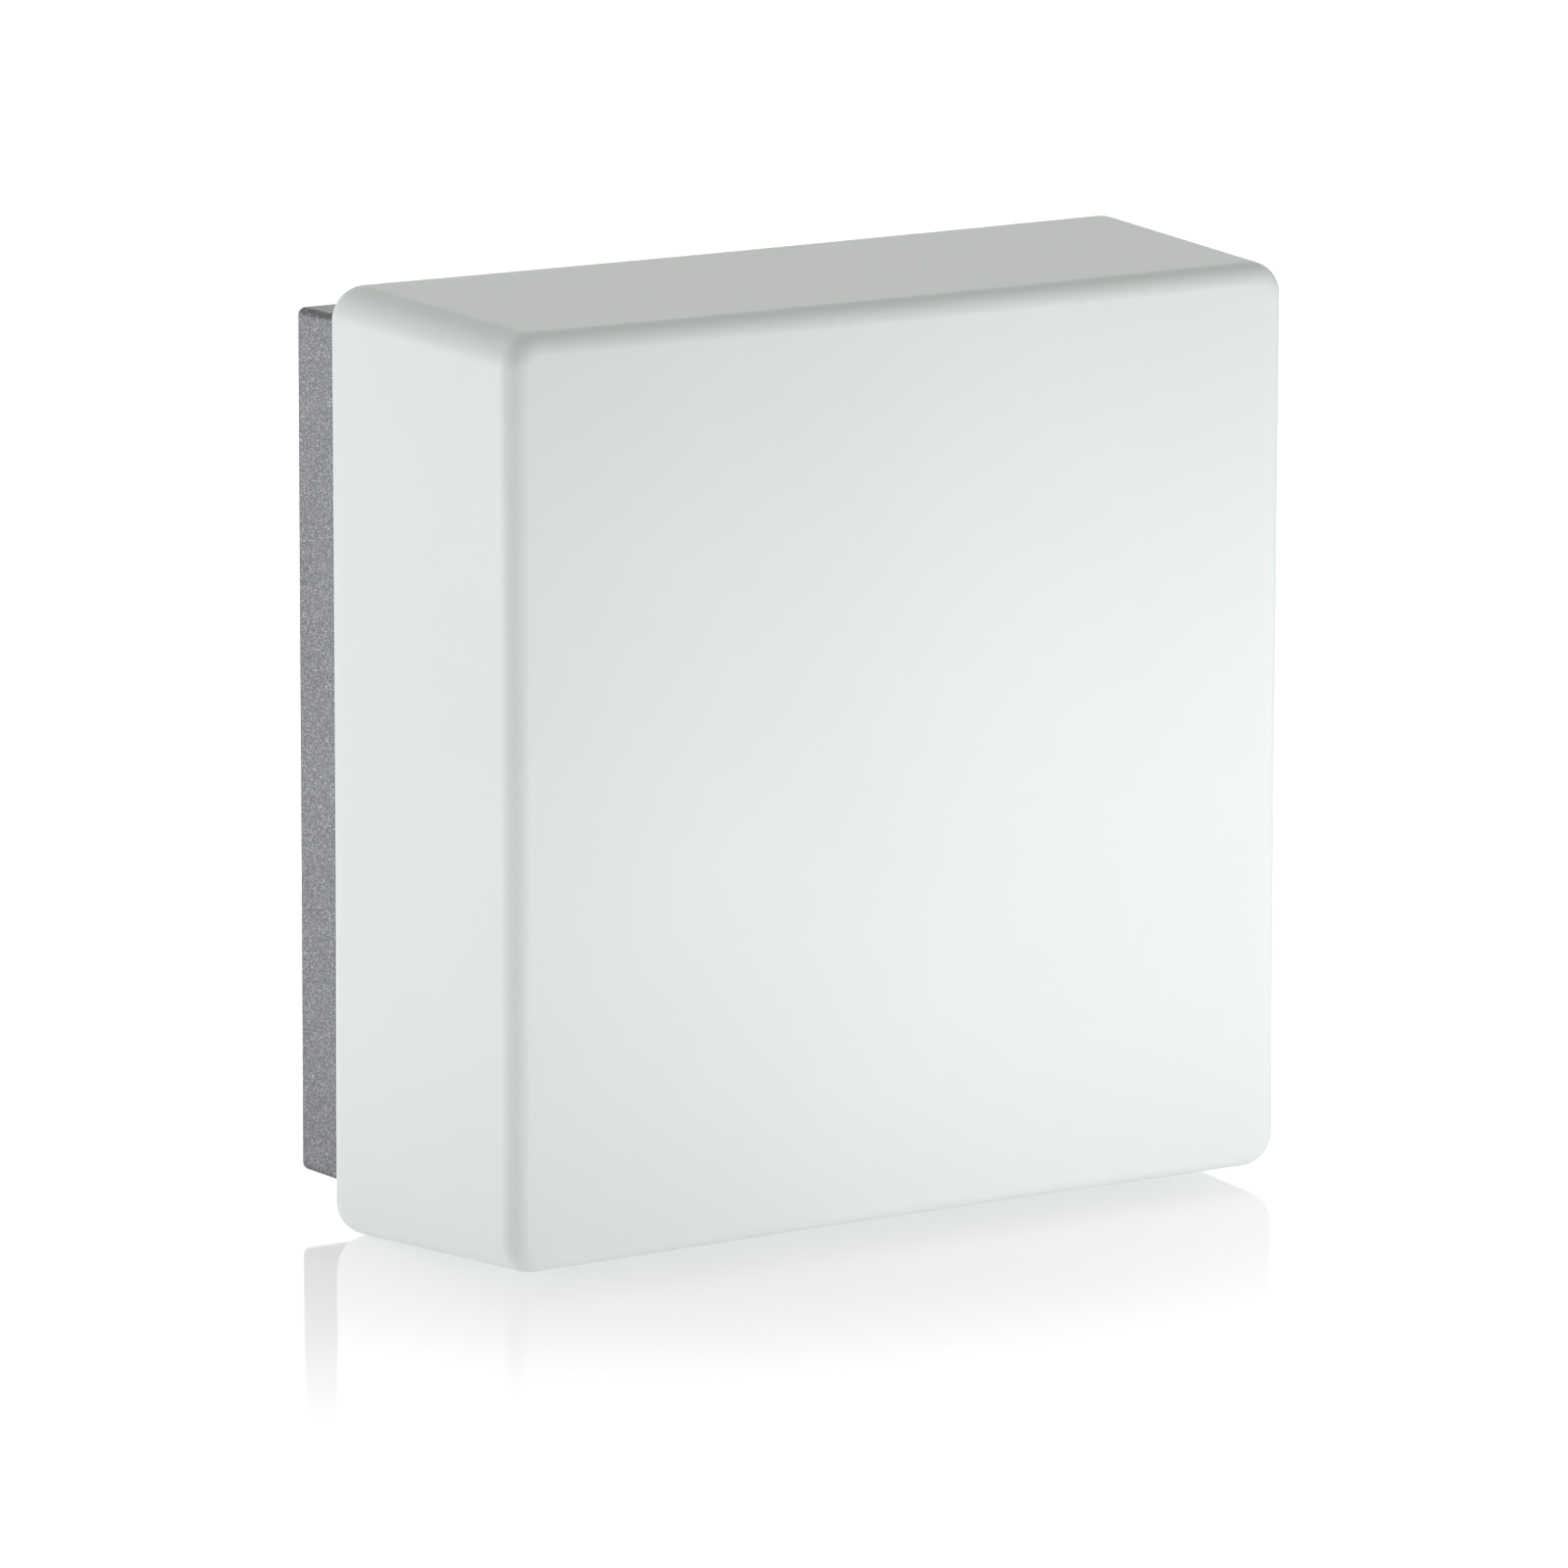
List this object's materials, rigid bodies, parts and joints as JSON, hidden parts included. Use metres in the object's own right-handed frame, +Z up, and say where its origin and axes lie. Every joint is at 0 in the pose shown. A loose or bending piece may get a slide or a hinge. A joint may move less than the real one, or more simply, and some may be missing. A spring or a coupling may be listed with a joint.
{
  "type": "outdoor wall lantern",
  "caption": "Square outdoor wall lantern: a satin opal glass box on a smaller square metal base, with lampholders and lamps inside.",
  "frame": {"origin": "centre of the base's back face, on the wall", "axes": "+Z up the wall, +Y into the wall, so the glass faces -Y, and +X to the right of someone who faces the wall"},
  "size_m": [0.3, 0.1363, 0.3],
  "materials": {
    "silver_coat": "silver-grey powder coat with a fine metallic sparkle",
    "opal_glass": "satin opal glass, white with a faint green tint",
    "silicone": "translucent white silicone",
    "black_rubber": "black moulded rubber",
    "white_paint": "white reflector paint",
    "steel": "stainless or zinc-plated steel",
    "brass": "bright brass",
    "porcelain": "white glazed porcelain",
    "nylon": "natural nylon",
    "lamp_glass": "opal lamp glass",
    "lamp_metal": "rolled aluminium",
    "black_glass": "black glass insulator with a solder tip",
    "brown_lead": "brown silicone-sheathed lead",
    "blue_lead": "blue silicone-sheathed lead",
    "earth_green": "green and yellow lead",
    "white_plastic": "white polyamide"
  },
  "bodies": {
    "base": {"base_housing": "silver_coat", "wall_seal": "black_rubber", "cable_grommet": "black_rubber", "tray_bush": "black_rubber", "fixing_bush_left": "black_rubber", "fixing_bush_right": "black_rubber", "rim_gasket": "silicone", "gear_tray": "white_paint", "tray_screw_upper_left": "steel", "tray_screw_upper_right": "steel", "tray_screw_lower_left": "steel", "tray_screw_lower_right": "steel", "holder_bracket_upper": "steel", "holder_nipple_upper": "steel", "bracket_screw_upper_top": "steel", "bracket_screw_upper_bottom": "steel", "lampholder_upper": "porcelain", "socket_shell_upper": "brass", "centre_contact_upper": "brass", "live_lead_upper": "brown_lead", "neutral_lead_upper": "blue_lead", "holder_bracket_lower": "steel", "holder_nipple_lower": "steel", "bracket_screw_lower_top": "steel", "bracket_screw_lower_bottom": "steel", "lampholder_lower": "porcelain", "socket_shell_lower": "brass", "centre_contact_lower": "brass", "live_lead_lower": "brown_lead", "neutral_lead_lower": "blue_lead", "earth_lead": "earth_green", "terminal_block": "white_plastic", "block_screw_left": "steel", "block_screw_right": "steel", "earth_washer": "steel", "earth_lug": "steel", "earth_screw": "brass", "clamp_screw_mains_live": "brass", "clamp_screw_mains_earth": "brass", "clamp_screw_mains_neutral": "brass", "clamp_screw_lamp_live": "brass", "clamp_screw_lamp_earth": "brass", "clamp_screw_lamp_neutral": "brass"},
    "glass": {"glass_shade": "opal_glass"},
    "lamp_upper": {"lamp_bulb_upper": "lamp_glass", "lamp_cap_upper": "lamp_metal", "lamp_contact_upper": "black_glass"},
    "lamp_lower": {"lamp_bulb_lower": "lamp_glass", "lamp_cap_lower": "lamp_metal", "lamp_contact_lower": "black_glass"},
    "screw_upper_left": {"retaining_screw_upper_left": "steel", "screw_tip_upper_left": "nylon"},
    "screw_upper_right": {"retaining_screw_upper_right": "steel", "screw_tip_upper_right": "nylon"},
    "screw_lower_left": {"retaining_screw_lower_left": "steel", "screw_tip_lower_left": "nylon"},
    "screw_lower_right": {"retaining_screw_lower_right": "steel", "screw_tip_lower_right": "nylon"}
  },
  "joints": [
    {"name": "glass_lift_off", "type": "slide", "parent": "base", "child": "glass", "axis": [0, -1, 0], "range_m": [0, 0.12]},
    {"name": "lamp_upper_out", "type": "slide", "parent": "base", "child": "lamp_upper", "axis": [1, 0, 0], "range_m": [0, 0.03]},
    {"name": "lamp_lower_out", "type": "slide", "parent": "base", "child": "lamp_lower", "axis": [-1, 0, 0], "range_m": [0, 0.03]},
    {"name": "screw_upper_left_out", "type": "slide", "parent": "base", "child": "screw_upper_left", "axis": [0, 0, 1], "range_m": [0, 0.005]},
    {"name": "screw_upper_right_out", "type": "slide", "parent": "base", "child": "screw_upper_right", "axis": [0, 0, 1], "range_m": [0, 0.005]},
    {"name": "screw_lower_left_out", "type": "slide", "parent": "base", "child": "screw_lower_left", "axis": [0, 0, -1], "range_m": [0, 0.005]},
    {"name": "screw_lower_right_out", "type": "slide", "parent": "base", "child": "screw_lower_right", "axis": [0, 0, -1], "range_m": [0, 0.005]}
  ]
}
